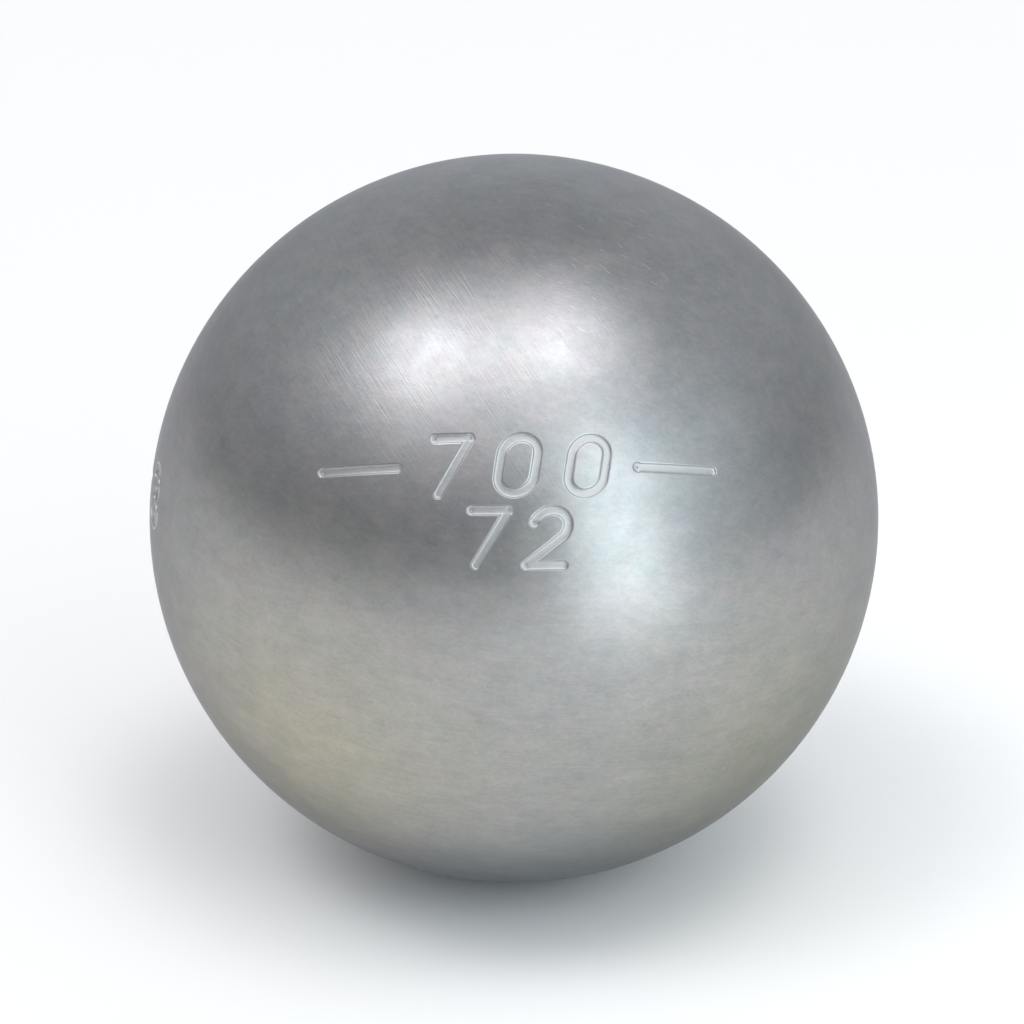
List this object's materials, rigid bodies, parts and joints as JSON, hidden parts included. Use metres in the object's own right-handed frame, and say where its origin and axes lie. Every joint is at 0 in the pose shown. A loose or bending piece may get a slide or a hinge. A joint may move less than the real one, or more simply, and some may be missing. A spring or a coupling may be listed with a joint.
{
  "type": "petanque boule",
  "caption": "Smooth hollow steel ball for petanque, made of pressed half shells that are butt welded round their rims and turned flush.",
  "frame": {"origin": "centre of the ball, on the weld plane", "axes": "+Z is the axis of both half shells, normal to the weld plane and up; the side that carries the markings faces -Y"},
  "size_m": [0.072, 0.072, 0.072],
  "materials": {
    "shell_steel": "satin, fine scratches outside; bare pressed steel inside",
    "weld_metal": "turned flush and satin outside, as welded inside"
  },
  "bodies": {
    "root": {"upper_half_shell": "shell_steel", "lower_half_shell": "shell_steel", "weld_root_run": "weld_metal", "weld_cap_run": "weld_metal"}
  },
  "joints": []
}
